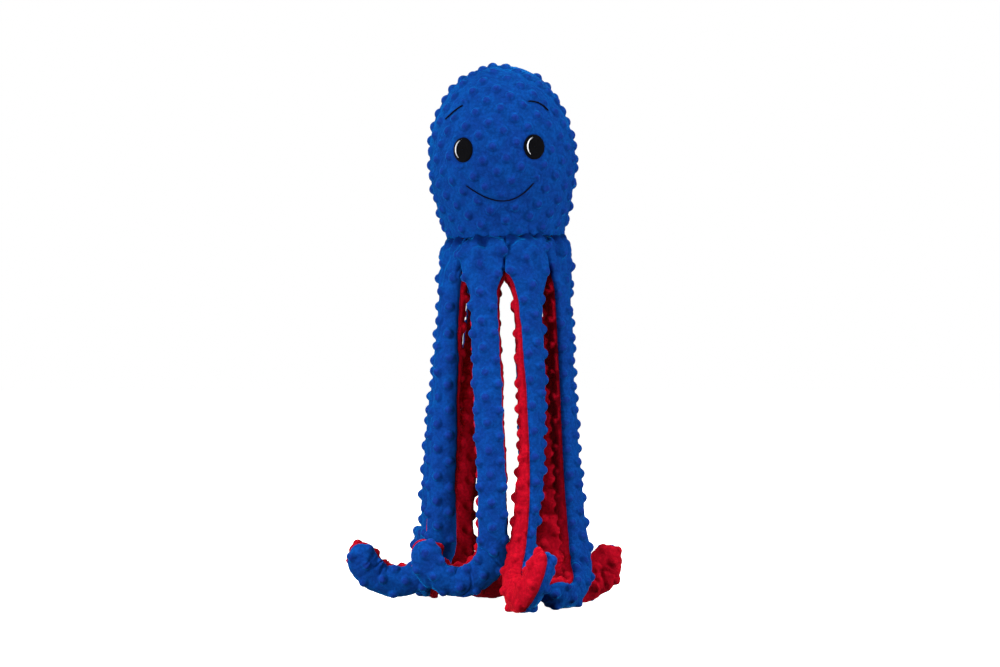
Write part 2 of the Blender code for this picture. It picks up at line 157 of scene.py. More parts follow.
LATTICE_TILT = math.radians(7)   # of the rows of dots
LATTICE_ORIGIN = (-0.0055, EYE_HEIGHT + 0.002)
LATTICE_REACH = 14         # rows and columns of dots on each side of the origin
HEAD_DOT_MARGINS = (0.006, 0.003, 0.004)   # from the neck, the top of the crown and the seams
HEAD_DOT_SEEDS = (3, 4)    # front and back
HEAD_INSET = 0.0009        # of the ground of the plush, so that its dots reach the CAD surface
INSET_SPAN = (0.0, 0.020)
NECK_RIM = ((0.0540, 0.0012), (0.0565, -0.0010), (0.0590, -0.0012))   # tucked in: radius, height
RIM_SHADE_WIDTH = 0.0045
WALL_START = 0.0015        # height at which the rim ends
WALL_STEPS = 40            # points of the head's profile, up to its widest and from there on
CROWN_STEPS = 60
DART_ACROSS = 0.0275       # a short seam in the head, up from the neck
DART_HEIGHT = 0.034
DART_WIDTH = 0.0012
DART_DEPTH = 0.0008
DART_SHADE = 0.4

CALM_SPAN = (0.0015, 0.0075)   # from the stitches outwards, where the dots come back
STITCH_PULL = 0.0007       # how deep the embroidery pulls the plush in
STITCH_PULL_WIDTH = 0.004
STITCH_SHADE = 0.5
STITCH_SHADE_WIDTH = 0.002
ROUTE_SAMPLES = 60         # points at which a line of the face is looked for
DART_SAMPLES = 30
LINE_HALF_WIDTH = 0.00058
LINE_PROUD = 0.0007
LINE_ENDS = 0.012          # share of a line over which each end tapers
LINE_GRID = (240, 15)      # rows along a line and columns over it
LINE_WRAP = (-0.2, 1.2)    # from edge to edge over a line's round top, in half turns
EYE_PROUD = 0.0010
EYE_SUNK = 0.0012          # how far the patch's edge is under the plush
EYE_EDGE = (1.03, 0.15)    # the patch's rolled edge: where it ends and its width, as shares
EYE_COLUMNS = 96
GLEAM_PLACE = (0.68, 0.76) # radii of the crescent, as shares of the eye's
GLEAM_START = 103          # degrees round the eye, anticlockwise from its right
GLEAM_TURN = 132
GLEAM_HALF_WIDTHS = (0.0001, 0.0006)   # at its tips and its middle
STITCH_HEIGHT = 0.00006
STITCH_BULGE = 0.10        # how much wider a line is at its stitches
STITCH_SLANT = 1.2
EYE_STITCH = 0.0009        # spacing of the stitches
LINE_STITCH = 0.0011

DISC_SAG = 0.002           # of the red underside
DISC_DROP = 0.0006
DISC_RADIUS = SKIRT_RADIUS - 0.0035
DISC_HOLE = 0.0004
DISC_GRID = (44, 120)      # rings and columns
DISC_DOT_SPAN = (0.045, 0.053)   # radii over which its dots fade out

# ---------------------------------------------------------------- the arms' looks

ARM_COLUMNS = 36           # of the grid in each strip of an arm
NECK_STEPS = 8             # steps of the rough centre line, from the neck seam to the pivot,
LEG_STEPS = 120            # down to the ankle
FOOT_STEPS = 70            # and on to the toe
SOLE_STEPS = 28            # steps in which the foot's lowest point is looked for
SEAM_TUCK = math.radians(5)    # how far the red strip wraps round to the outer side
TOP_TUCK = math.radians(-14)   # the same at the neck, where blue wraps round to the inner side
TUCK_SPAN = (0.012, 0.042)

SKIRT_HALF_WIDTH = 0.0238  # of an arm's flattened top, in the neck seam
SKIRT_HALF_DEPTH = 0.0035
SKIRT_SQUARENESS = 0.55    # how boxy the tops' sections are, to lie together as one skirt
SKIRT_SPLIT = (0.030, 0.064)   # below the seam, where neighbouring arms part
SKIRT_CREASED = (0.030, 0.060)
SKIRT_LUMPY = (0.020, 0.070)
SKIRT_WRAP = (0.012, 0.057)    # where the tops stop following the neck seam round the head
SKIRT_LEVEL = (0.0, 0.035)     # where they stop following its tilt
SHOULDER_POWER = 0.8       # how fast a flattened top fills out

TOP_SHADE_WIDTH = 0.004
CROWDED = 0.65             # spacing of the dots' rows at the gathered tops, as a share
CROWDED_SPAN = (0.0, 0.090)
ARM_DOT_MARGINS = (0.006, 0.002)   # from the neck and from the seams
PHASE_SEED = 40            # random seeds of the first arm; each arm has its own
DOT_SEED = 60
FOLD_SEED = 80

FOOT_SWELL_LENGTH = 0.060  # over which the foot swells, half of it above the ankle
FOLD_DEPTH = 0.0022
FOLD_SHADE = 0.4
FOLD_SIZE = 0.022          # spacing of the creases, about
FOLD_WIDTH = 0.16          # of a crease, as a share of the random field that it follows
FOLD_MEAN = 0.5            # mean depth of the creases, how much it varies, and over what size
FOLD_VARIETY = 0.7
FOLD_PATCH = 0.030
FOLD_PLANE = 0.010         # the random fields are cut along this plane
# stretch of the pattern of creases along and round the arm, and its slant
Folds = namedtuple("Folds", "along round slant")
FOOT_FOLDS = Folds(1.0, 0.3, 0.5)
SKIRT_FOLDS = Folds(0.35, 1.0, 0.4)
BEND_SPAN = (10.0, 22.0)   # curvatures at which the foot starts to crease and creases fully
TOE_REACH = 1.15           # length of the rounded toe, in half widths
TOE_RINGS = 12
TOE_POWER = 0.9
TOE_CLOSED = 0.995         # how nearly the last ring closes
FLOOR_SOFTNESS = 0.0016    # how gradually the feet are pressed flat
FLOOR_PRESS = 0.85

UPPER_LENGTH = 0.080       # the upper covers' share of the arm, below the seam
STRIP_COLOURS = {"outer": "blue", "inner": "red"}


# ---------------------------------------------------------------- small tools

def heading(degrees):
    """Level unit vector, 0 degrees to the front and 90 to the toy's +X side."""
    angle = math.radians(degrees)
    return Vector((math.sin(angle), -math.cos(angle), 0.0))


def ease(share):
    """Smooth step from 0 to 1, for numbers and arrays."""
    share = np.clip(share, 0.0, 1.0)
    return share * share * (3 - 2 * share)


def rise(values, span):
    """0 before the span, 1 after it and smooth between."""
    return ease((values - span[0]) / (span[1] - span[0]))


def near(distance, width):
    """1 at no distance, fading out over the width."""
    return np.exp(-(distance / width) ** 2)


def ripple(points, size, seed):
    """Smooth random field over an array of points, about -1 to 1, with features of that size."""
    random = np.random.default_rng(seed)
    total = np.zeros(points.shape[:-1])
    for _ in range(FIELD_WAVES):
        direction = random.normal(size=3)
        direction /= np.linalg.norm(direction)
        wave = math.tau / size * random.uniform(*FIELD_VARIETY)
        total += np.sin(points @ direction * wave + random.uniform(0, math.tau))
    return total / FIELD_LEVEL


def pleat_waves(points, turns, pleats):
    """Waves of the gathers over an array of points, -1 to 1."""
    return np.sin(turns * pleats.count + pleats.wander * ripple(points, pleats.size, pleats.seed))


def lumpiness(points, kinds, number=0):
    """Height of the lumps of filling at points; number tells like parts apart."""
    return sum(kind.height * ripple(points * kind.shorter, kind.size, kind.seed + number)
               for kind in kinds)


def unit(vectors):
    return vectors / np.maximum(np.linalg.norm(vectors, axis=-1, keepdims=True), 1e-12)


def distances_along(points):
    """Distance of each point from the first, along the line through them."""
    steps = np.linalg.norm(np.diff(points, axis=0), axis=1)
    return np.concatenate([[0.0], np.cumsum(steps)])


def grid_normals(grid, closed):
    """Normals of a grid of points, rows crossed with columns; closed: its columns join up."""
    down = np.gradient(grid, axis=0)
    if closed:
        across = np.roll(grid, -1, axis=1) - np.roll(grid, 1, axis=1)
    else:
        across = np.gradient(grid, axis=1)
    return unit(np.cross(down, across))


def nearest(points, centres):
    """Distance from each point to the nearest of the centres."""
    tree = KDTree(len(centres))
    for index, centre in enumerate(centres):
        tree.insert(centre, index)
    tree.balance()
    flat = points.reshape(-1, 3)
    found = np.array([tree.find(point)[2] for point in flat])
    return found.reshape(points.shape[:-1])


def two_strips(count, labels):
    """Columns of the two strips round a closed grid, count wide, each with both seams' columns."""
    around = np.arange(2 * count + 1) % (2 * count)
    return {labels[0]: around[:count + 1], labels[1]: around[count:]}


def seam_line(plain):
    """Nearness to the seams of a closed grid, down its first and its middle column."""
    middle = plain.shape[1] // 2
    gaps = [np.linalg.norm(plain - plain[:, column:column + 1], axis=-1) for column in (0, middle)]
    return near(np.minimum(*gaps), SEAM_WIDTH)


def dot_profile(distance):
    """Height of a raised dot of the plush, as a share, at a distance from its centre."""
    return np.clip(1 - (distance / DOT_RADIUS) ** 2, 0.0, 1.0) ** DOT_POWER


def raised_dots(plain, strips, centres):
    """Heights of the raised dots over a grid and the shade painted in a ring round each, as shares."""
    dots = np.zeros(plain.shape[:2])
    ring_shades = np.zeros(plain.shape[:2])
    for label, columns in strips.items():
        inner_columns = columns[1:-1]
        distance = nearest(plain[:, inner_columns], centres[label])
        dots[:, inner_columns] = dot_profile(distance)
        ring_shades[:, inner_columns] = near(distance - DOT_RADIUS, DOT_SHADE_RING_WIDTH)
    return dots, ring_shades


def mesh_object(name, grid, normals, shades, material, closed=False):
    """Smooth object from a grid of points in toy coordinates, with its own normals and shades."""
    rows, columns = grid.shape[:2]
    corners = np.arange(rows * columns).reshape(rows, columns)
    after = np.roll(corners, -1, axis=1) if closed else corners[:, 1:]
    before = corners if closed else corners[:, :-1]
    faces = np.stack([before[:-1], before[1:], after[1:], after[:-1]], axis=-1).reshape(-1, 4)
    mesh = bpy.data.meshes.new(name)
    points = grid.reshape(-1, 3) + np.array(AXIS)
    mesh.from_pydata(points.tolist(), [], faces.tolist())
    for label, values in shades.items():
        attribute = mesh.attributes.new(label, "FLOAT", "POINT")
        attribute.data.foreach_set("value", values.reshape(-1).astype(np.float32))
    mesh.materials.append(material)
    mesh.shade_smooth()
    if normals is not None:
        mesh.normals_split_custom_set_from_vertices(normals.reshape(-1, 3).tolist())
    item = bpy.data.objects.new(name, mesh)
    bpy.context.collection.objects.link(item)
    return item


# ---------------------------------------------------------------- materials

class Shading:
    """A new material on the Principled shader, with short calls for the nodes that feed it."""

    def __init__(self, name):
        self.material = bpy.data.materials.new(name)
        self.material.use_nodes = True
        self.nodes = self.material.node_tree.nodes
        self.links = self.material.node_tree.links

    def fill(self, node, inputs):
        """Sets a node's inputs, each from a socket, a colour or a number."""
        for label, value in inputs.items():
            if isinstance(value, bpy.types.NodeSocket):
                self.links.new(value, node.inputs[label])
            elif isinstance(value, tuple):
                node.inputs[label].default_value = (*value, 1.0)
            else:
                node.inputs[label].default_value = value

    def place(self):
        return self.nodes.new("ShaderNodeTexCoord").outputs["Object"]

    def noise(self, scale, detail):
        node = self.nodes.new("ShaderNodeTexNoise")
        self.fill(node, {"Vector": self.place(), "Scale": scale, "Detail": detail})
        return node.outputs["Fac"]

    def mix(self, factor, first, second):
        """From the first colour to the second."""
        node = self.nodes.new("ShaderNodeMix")
        node.data_type = "RGBA"
        self.fill(node, {0: factor, 6: first, 7: second})
        return node.outputs[2]

    def span(self, value, source, target):
        """A value that goes smoothly over the target while another goes over the source."""
        node = self.nodes.new("ShaderNodeMapRange")
        node.interpolation_type = "SMOOTHSTEP"
        self.fill(node, {"Value": value, "From Min": source[0], "From Max": source[1],
                         "To Min": target[0], "To Max": target[1]})
        return node.outputs["Result"]

    def attribute(self, name):
        node = self.nodes.new("ShaderNodeAttribute")
        node.attribute_name = name
        return node.outputs["Fac"]

    def bump(self, height, distance, strength=1.0, under=None):
        """Normals of a rough surface, over those of another where one is given."""
        node = self.nodes.new("ShaderNodeBump")
        self.fill(node, {"Height": height, "Distance": distance, "Strength": strength})
        if under is not None:
            self.fill(node, {"Normal": under})
        return node.outputs["Normal"]

    def finished(self, inputs):
        """The material, with its shader's inputs set."""
        self.fill(self.nodes["Principled BSDF"], inputs)
        return self.material


# Colours of a plush: its ground, the patches brushed lighter, its dots, a darker tone that mottles its
# fibres and is painted as shade into its creases, and its sheen
Plush = namedtuple("Plush", "ground brushed dot shade sheen")
BLUE = Plush((0.0045, 0.047, 0.275), (0.0030, 0.068, 0.33), (0.010, 0.032, 0.26),
             (0.0010, 0.009, 0.075), (0.0, 0.34, 0.95))
RED = Plush((0.43, 0.0030, 0.014), (0.54, 0.0048, 0.019), (0.54, 0.0048, 0.018),
            (0.085, 0.0006, 0.004), (1.0, 0.02, 0.03))


def plush_material(name, colours):
    """Short-pile plush: brushed patches, fibres, dots of another tone, and painted shade in its
    creases and seams.
    """
    make = Shading(name)
    nap = make.noise(330, 5)
    fibres = make.noise(1300, 4)
    patches = make.span(make.noise(60, 3), (0.38, 0.62), (0, 0.7))
    dots = make.span(make.attribute("dot"), (0.35, 0.95), (0, 0.7))
    colour = make.mix(patches, colours.ground, colours.brushed)
    colour = make.mix(dots, colour, colours.dot)
    # nap and fibres mottle the plush darker; the last attribute mixed in is painted shade in creases,
    # seams, gathers and round dots and stitches
    for value, source, target in ((nap, (0.42, 0.62), (0.32, 0)), (fibres, (0.35, 0.65), (0.28, 0)),
                                  (make.attribute("painted_shade"), (0.1, 1.0), (0, 0.9))):
        colour = make.mix(make.span(value, source, target), colour, colours.shade)
    pile = make.bump(fibres, 0.0007, 0.7)
    return make.finished({
        "Base Color": colour, "Normal": make.bump(nap, 0.0016, 0.6, pile), "Roughness": 0.92,
        "Specular IOR Level": 0.01, "Sheen Weight": 0.7, "Sheen Roughness": 0.35,
        "Sheen Tint": colours.sheen})


def thread_material(name, colour, glow):
    """Satin-stitched thread: fine parallel strands with a soft gloss."""
    make = Shading(name)
    strands = make.nodes.new("ShaderNodeTexWave")
    strands.bands_direction = "Z"
    make.fill(strands, {"Vector": make.place(), "Scale": 420, "Distortion": 1.5, "Detail": 2})
    strand = strands.outputs["Fac"]
    return make.finished({
        "Base Color": make.mix(strand, colour, glow), "Normal": make.bump(strand, 0.0003, 0.5),
        "Roughness": 0.7, "Specular IOR Level": 0.03})


def filling_material():
    """Matted white fibres."""
    make = Shading("polyester_fibre")
    clumps = make.noise(160, 8)
    return make.finished({
        "Base Color": make.mix(clumps, (0.95, 0.95, 0.93), (0.7, 0.71, 0.72)),
        "Normal": make.bump(clumps, 0.002), "Roughness": 1.0})


def squeaker_material():
    """Moulded, slightly cloudy soft plastic."""
    make = Shading("soft_plastic")
    return make.finished({
        "Base Color": make.mix(make.noise(90, 4), (0.82, 0.77, 0.64), (0.7, 0.65, 0.52)),
        "Normal": make.bump(make.noise(700, 2), 0.0002), "Roughness": 0.4})


MATERIALS = {
    "blue": plush_material("blue_dimple_plush", BLUE),
    "red": plush_material("red_dimple_plush", RED),
    "black": thread_material("black_satin_thread", (0.0003, 0.0003, 0.0006), (0.0016, 0.0016, 0.0026)),
    "white": thread_material("white_satin_thread", (0.78, 0.80, 0.84), (0.92, 0.93, 0.95)),
    "filling": filling_material(),
    "squeaker": squeaker_material(),
}


# ---------------------------------------------------------------- an arm's centre line

# A place along an arm: its frame, with the blue side facing out
Station = namedtuple("Station", "point along out side")


def foot_frame(arm):
    """Unit vectors of a foot: its blue side, the way down the leg, and the way to the toe."""
    lean = math.radians(arm.lean)
    across = heading(arm.toe + 90)
    out = across * math.cos(lean) - UP * math.sin(lean)
    down = -UP * math.cos(lean) - across * math.sin(lean)
    return out, down, heading(arm.toe)


def foot_stations(arm, steps):
    """The foot from its ankle, taken as zero, to its toe; it curls in the plane it leans in."""
    out, down, toe = foot_frame(arm)
    turn = math.radians(arm.turn) / steps
    first, last = arm.curl
    point = Vector()
    stations = []
    for step in range(steps + 1):
        share = step / steps
        angle = step * turn
        along = math.cos(angle) * down + math.sin(angle) * toe
        side = math.cos(angle) * toe - math.sin(angle) * down
        roll = math.radians(arm.roll) * float(ease(share))
        rolled_out = out * math.cos(roll) - side * math.sin(roll)
        rolled_side = side * math.cos(roll) + out * math.sin(roll)
        stations.append(Station(point, along, rolled_out, rolled_side))
        middle = angle + turn / 2
        radius = first + (last - first) * (share + 0.5 / steps)
        point = point + radius * turn * (math.cos(middle) * down + math.sin(middle) * toe)
    return stations


def foot_length(arm):
    return math.radians(arm.turn) * sum(arm.curl) / 2


def ankle_point(arm):
    """The ankle, at the height that sets the foot's lowest point on the floor."""
    lowest = min(station.point.z - math.hypot((ARM_HALF_WIDTH + FOOT_SWELL) * station.side.z,
                                              ARM_HALF_DEPTH * station.out.z)
                 for station in foot_stations(arm, SOLE_STEPS))
    return Vector((*arm.ankle, arm.lift - SOLE_FLAT - lowest))


def leg_station(arm, share):
    """The leg at a share of its way from the neck pivot down to the ankle."""
    out, down, _ = foot_frame(arm)
    start = heading(arm.neck) * ARM_RING + UP * PIVOT_HEIGHT
    end = ankle_point(arm)
    length = start.z - end.z
    first = start - UP * length * NECK_PULL + heading(arm.neck) * NECK_FLARE
    second = end - down * length * ANKLE_PULL
    rest = 1 - share
    point = (rest**3 * start + 3 * rest**2 * share * first
             + 3 * rest * share**2 * second + share**3 * end)
    along = (rest**2 * (first - start) + 2 * rest * share * (second - first)
             + share**2 * (end - second)).normalized()
    twist = (arm.toe + 90 - arm.neck + 180) % 360 - 180
    bow = arm.bow * math.sin(math.pi * share)
    facing = heading(arm.neck + twist * share + bow) + UP * out.z * share
    facing = (facing - along * facing.dot(along)).normalized()
    return Station(point, along, facing, along.cross(facing))


def arm_stations(arm):
    """The whole arm from the neck seam to its toe: evenly spaced places, and a Station of arrays."""
    top = leg_station(arm, 0.0)
    neck = [top._replace(point=top.point + UP * PIVOT_DROP * (1 - step / NECK_STEPS))
            for step in range(NECK_STEPS)]
    leg = [leg_station(arm, step / LEG_STEPS) for step in range(LEG_STEPS)]
    ankle = ankle_point(arm)
    foot = [station._replace(point=ankle + station.point)
            for station in foot_stations(arm, FOOT_STEPS)]
    rough = [np.array(vectors, float) for vectors in zip(*(neck + leg + foot))]
    lengths = distances_along(rough[0])
    places = np.linspace(0.0, lengths[-1], round(lengths[-1] / CLOTH_STEP) + 1)
    even = [np.stack([np.interp(places, lengths, column) for column in vectors.T], axis=1)
            for vectors in rough]
    return places, Station(even[0], *(unit(vectors) for vectors in even[1:]))


# ---------------------------------------------------------------- an arm's surface

def arm_angles(places):
    """Angles of the grid's columns in each row: the outer strip's, then the inner strip's."""
    bend = np.linspace(0, math.pi, ARM_COLUMNS + 1)[:-1]
    tuck = (TOP_TUCK + (SEAM_TUCK - TOP_TUCK) * rise(places, TUCK_SPAN))[:, None]
    outer = bend * (1 - 2 * tuck / math.pi) + tuck
    inner = bend * (1 + 2 * tuck / math.pi) + math.pi - tuck
    return np.concatenate([outer, inner], axis=1)


def skirt_sizes(below):
    """Half width, half depth, ring radius and squareness of an arm, at a distance below the seam."""
    spread = 1 - rise(below, SKIRT_SPLIT)
    width = ARM_HALF_WIDTH + (SKIRT_HALF_WIDTH - ARM_HALF_WIDTH) * spread
    filled = np.sin(np.clip(below / PIVOT_DROP, 0, 1) * math.pi / 2) ** SHOULDER_POWER
    depth = SKIRT_HALF_DEPTH + (ARM_HALF_DEPTH - SKIRT_HALF_DEPTH) * filled
    radius = SKIRT_RADIUS + (ARM_RING - SKIRT_RADIUS) * filled
    return width, depth, radius, 1 - SKIRT_SQUARENESS * spread


def tube_points(arm, places, line, angles):
    """Grid of points on the arm's plain surface: a row for each place, angles across each row."""
    skirt_width, skirt_depth, ring, power = skirt_sizes(places)
    ankle = places[-1] - foot_length(arm)
    half_swell = FOOT_SWELL_LENGTH / 2
    foot = rise(places, (ankle - half_swell, ankle + half_swell))
    across = (skirt_width + FOOT_SWELL * foot)[:, None] * np.cos(angles)
    sine = np.sin(angles)
    off = skirt_depth[:, None] * np.sign(sine) * np.abs(sine) ** power[:, None]
    straight = (line.point[:, None] + line.side[:, None] * across[..., None]
                + line.out[:, None] * off[..., None])

    # at the top the flattened arm follows the neck seam round the head
    radius = ring[:, None] + off
    turn = math.radians(arm.neck) - across / ring[:, None]
    oval = HEAD_DEPTH_RATIO + (1 - HEAD_DEPTH_RATIO) * ease(places / PIVOT_DROP)[:, None]
    wrapped = np.stack([radius * np.sin(turn), -oval * radius * np.cos(turn),
                        np.broadcast_to(line.point[:, 2:], turn.shape)], axis=-1)
    follow = (1 - rise(places, SKIRT_WRAP))[:, None, None]
    grid = wrapped * follow + straight * (1 - follow)
    level = (1 - rise(places, SKIRT_LEVEL))[:, None]
    grid[..., 2] -= math.tan(HEAD_TILT) * grid[..., 0] * level
    return grid


def toe_cap(grid, line):
    """Grid with a rounded end added beyond its last row."""
    centre = line.point[-1]
    reach = line.along[-1] * ARM_HALF_WIDTH * TOE_REACH
    rows = []
    for ring in range(1, TOE_RINGS + 1):
        angle = math.pi / 2 * ring / TOE_RINGS * TOE_CLOSED
        squeeze = math.cos(angle) ** TOE_POWER
        rows.append(centre + (grid[-1] - centre) * squeeze + reach * math.sin(angle))
    return np.concatenate([grid, np.array(rows)])


def arm_dots(grid, lengths, phase, seed):
    """Centres of the raised dots on one strip, whose columns are the grid's; rows alternate."""
    random = np.random.default_rng(seed)
    rows, columns = grid.shape[:2]
    offsets = distances_along(grid[rows // 2])
    width = offsets[-1]
    neck_margin, seam_margin = ARM_DOT_MARGINS
    centres = []
    for row in range(int(lengths[-1] / DOT_PITCH) + 2):
        along = (row + phase[1]) * DOT_PITCH
        crowding = CROWDED + (1 - CROWDED) * float(rise(along, CROWDED_SPAN))
        for column in (-3, -1, 1, 3):
            across = width / 2 + (phase[0] + row % 2 + column) * DOT_PITCH
            across += random.normal(0, ARM_SCATTER_ACROSS)
            down = along * crowding + random.normal(0, DOT_SCATTER)
            if seam_margin < across < width - seam_margin and neck_margin < down < lengths[-1]:
                centres.append(grid[min(np.searchsorted(lengths, down), rows - 1),
                                    min(np.searchsorted(offsets, across), columns - 1)])
    return centres


def creases_of(along, around, folds, seed):
    """Depth of the creases at distances along and around an arm, as shares.

    The creases follow the lines on which a smooth random field changes sign.
    """
    cloth = np.stack([folds.along * along + folds.slant * folds.round * around,
                      folds.round * around - folds.slant * folds.along * along,
                      np.full(along.shape, FOLD_PLANE)], axis=-1)
    line = near(ripple(cloth, FOLD_SIZE, seed), FOLD_WIDTH)
    depth = FOLD_MEAN + FOLD_VARIETY * ripple(cloth, FOLD_PATCH, seed + 1)
    return line * np.clip(depth, 0, 1)


def arm_creases(line, places, lengths, seed):
    """Depth of the creases across the foot's curl and down the gathered top, as shares."""
    shape = (len(lengths), 2 * ARM_COLUMNS)
    along = np.broadcast_to(lengths[:, None], shape)
    around = np.broadcast_to(ARM_HALF_WIDTH * math.pi * np.arange(shape[1]) / ARM_COLUMNS, shape)
    bend = np.linalg.norm(np.gradient(line.along, places, axis=0), axis=1)
    bent = rise(np.interp(lengths, places, bend), BEND_SPAN)[:, None]
    gathered = (1 - rise(lengths, SKIRT_CREASED))[:, None]
    return (bent * creases_of(along, around, FOOT_FOLDS, seed)
            + gathered * creases_of(along, around, SKIRT_FOLDS, seed + 2))


def arm_relief(plain, lengths, strips, creases, number):
    """Height of the cloth over an arm's plain surface, and its dots and painted shade for its
    material.
    """
    random = np.random.default_rng(PHASE_SEED + number)
    centres = {label: arm_dots(plain[:, columns], lengths, random.uniform(0, 1, 2), DOT_SEED + number)
               for label, columns in strips.items()}
    dots, ring_shades = raised_dots(plain, strips, centres)
    seam = seam_line(plain)
    gather = (1 - rise(lengths, ARM_PLEATS.span))[:, None]
    dots *= 1 - ARM_PLEATS.flattening * gather
    turns = np.linspace(0, math.tau, 2 * ARM_COLUMNS, endpoint=False)
    skirt = (1 - rise(lengths, SKIRT_LUMPY))[:, None]

    height = dots * ARM_DOT_HEIGHT * (1 - SEAM_FLATTENING * seam) - seam * SEAM_DEPTH
    height += ARM_PLEATS.height * gather * pleat_waves(plain, turns, ARM_PLEATS)
    height -= FOLD_DEPTH * creases
    height += lumpiness(plain, ARM_LUMPS, number) + skirt * lumpiness(plain, SKIRT_LUMPS, number)
    # painted shade: darker in the seams, among the gathers, along the crease under the head, round the
    # dots and in the folds
    painted_shade = SEAM_SHADE * seam + ARM_PLEATS.shade * gather + near(lengths, TOP_SHADE_WIDTH)[:, None]
    painted_shade += DOT_RING_SHADE * ring_shades + FOLD_SHADE * creases
    return height, {"dot": dots, "painted_shade": np.clip(painted_shade, 0, 1)}


def floor_press(heights):
    """Heights kept above the floor: what would go through it is pressed flat."""
    pressed = FLOOR_SOFTNESS * np.log1p(np.exp(heights / FLOOR_SOFTNESS)) * FLOOR_PRESS
    return np.where(heights > 4 * FLOOR_SOFTNESS, heights, pressed)


def follow_joint(item, part):
    """Bakes the transform of the cover of an arm's upper or lower half into its mesh."""
    if part == "upper":
        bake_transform(item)
    else:
        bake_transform(item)


def add_arm(arm, number):
    """The four covers of an arm: a blue and a red strip, each in an upper and a lower half."""
    places, line = arm_stations(arm)
    plain = toe_cap(tube_points(arm, places, line, arm_angles(places)), line)
    lengths = distances_along(plain.mean(axis=1))
    normals = grid_normals(plain, True)
    normals[-1] = line.along[-1]
    strips = two_strips(ARM_COLUMNS, ("outer", "inner"))
    creases = arm_creases(line, places, lengths, FOLD_SEED + number)
    height, shades = arm_relief(plain, lengths, strips, creases, number)
    grid = plain + normals * height[..., None]
    grid[..., 2] = floor_press(grid[..., 2])
    fine = grid_normals(grid, True)
    fine[-1] = line.along[-1]

    cut = int(np.searchsorted(lengths, UPPER_LENGTH))
    for part, rows in (("upper", slice(0, cut + 1)), ("lower", slice(cut, None))):
        for label, columns in strips.items():
            colour = STRIP_COLOURS[label]
            own_shades = {name: shade[rows][:, columns] for name, shade in shades.items()}
            item = mesh_object(f"{arm.name}_{part}_{colour}_cover", grid[rows][:, columns],
                               fine[rows][:, columns], own_shades, MATERIALS[colour])
            node = f"arm_{arm.name}_{part}"
            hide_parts(f"{node}_{label}_cover")
            if label == "outer":
                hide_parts(f"{node}_filling")
            follow_joint(item, part)


# ---------------------------------------------------------------- the head's surface

HEAD_FRAME = (Matrix.Translation((0, 0, NECK_HEIGHT)) @ Matrix.Rotation(HEAD_TILT, 4, "Y")
              @ Matrix.Rotation(HEAD_TURN, 4, "Z"))


def to_toy(points):
    """Points of the head's own frame in toy coordinates."""
    matrix = np.array(HEAD_FRAME)
    return points @ matrix[:3, :3].T + matrix[:3, 3]


def head_radius(height):
    """Half width of the head at heights above the neck."""
    below = np.clip((HEAD_WIDEST - height) / HEAD_WIDEST, 0, None)
    above = np.clip((height - HEAD_WIDEST) / (HEAD_HEIGHT - HEAD_WIDEST), 0, 1)
    crown = (1 - above**CROWN_POWER) ** (1 / CROWN_POWER)
    return HEAD_HALF_WIDTH * np.where(height < HEAD_WIDEST, 1 - NECK_TAPER * below**TAPER_POWER,
                                      crown)


def head_profile():
    """Places above the tucked rim at the neck, radii and heights, evenly from the crown down."""
    wall = np.linspace(WALL_START, HEAD_WIDEST, WALL_STEPS)
    angles = np.linspace(0, math.pi / 2, CROWN_STEPS)[1:]
    crown = HEAD_WIDEST + (HEAD_HEIGHT - HEAD_WIDEST) * np.sin(angles) ** (2 / CROWN_POWER)
    up = np.concatenate([wall, crown])
    rough = np.concatenate([NECK_RIM, np.stack([head_radius(up), up], axis=1)])
    lengths = distances_along(rough)
    places = np.linspace(lengths[-1], 0, round(lengths[-1] / CLOTH_STEP) + 1)
    return places, np.interp(places, lengths, rough[:, 0]), np.interp(places, lengths, rough[:, 1])


def on_face(across, height, proud=0.0):
    """Points over the front of the head at (across, height), stood off its surface."""
    across = np.asarray(across, float)
    height = np.asarray(height, float)

    def surface(x, z):
        depth = np.sqrt(np.clip(head_radius(z) ** 2 - x * x, 0, None))
        return np.stack(np.broadcast_arrays(x, -HEAD_DEPTH_RATIO * depth, z), axis=-1)

    step = 0.0005
    slope_x = surface(across + step, height) - surface(across - step, height)
    slope_z = surface(across, height + step) - surface(across, height - step)
    return surface(across, height) + unit(np.cross(slope_x, slope_z)) * np.asarray(proud)[..., None]


def head_dots(facing, seed):
    """Dot centres on one panel, in the head's frame; its rows follow the cloth's slanted grain."""
    random = np.random.default_rng(seed)
    places, radii, heights = (values[::-1] for values in head_profile())
    cosine, sine = math.cos(LATTICE_TILT), math.sin(LATTICE_TILT)
    above_rim = places > distances_along(np.array(NECK_RIM))[-1]
    start = np.interp(LATTICE_ORIGIN[1], heights[above_rim], places[above_rim])
    neck_margin, crown_margin, seam_margin = HEAD_DOT_MARGINS
    centres = []
    for row in range(-LATTICE_REACH, LATTICE_REACH + 1):
        for column in range(-LATTICE_REACH, LATTICE_REACH + 1):
            u = (2 * column + row % 2) * DOT_PITCH + random.normal(0, DOT_SCATTER)
            v = row * DOT_PITCH + random.normal(0, DOT_SCATTER)
            across = LATTICE_ORIGIN[0] + u * cosine - v * sine
            along = start + u * sine + v * cosine
            if not neck_margin < along < places[-1] - crown_margin:
                continue
            radius = np.interp(along, places, radii)
            turn = across / radius
            if abs(turn) < math.pi / 2 - seam_margin / radius:
                centres.append((facing * radius * math.sin(turn),
                                -facing * HEAD_DEPTH_RATIO * radius * math.cos(turn),
                                np.interp(along, places, heights)))
    return centres


# ---------------------------------------------------------------- the face's lines

def smile(share):
    across = 2 * share - 1
    skew = MOUTH_SKEW * (across - across**3)
    return MOUTH_HALF_WIDTH * across, MOUTH_HEIGHT + MOUTH_RISE * across**2 - skew


def brow(shape):
    """Route of a brow, as a function of the share of its way from its inner end."""
    def route(share):
        fall = shape.fall * np.clip(share, 0, None) ** shape.power
        return shape.sign * (shape.start + shape.span * share), shape.height - fall
    return route


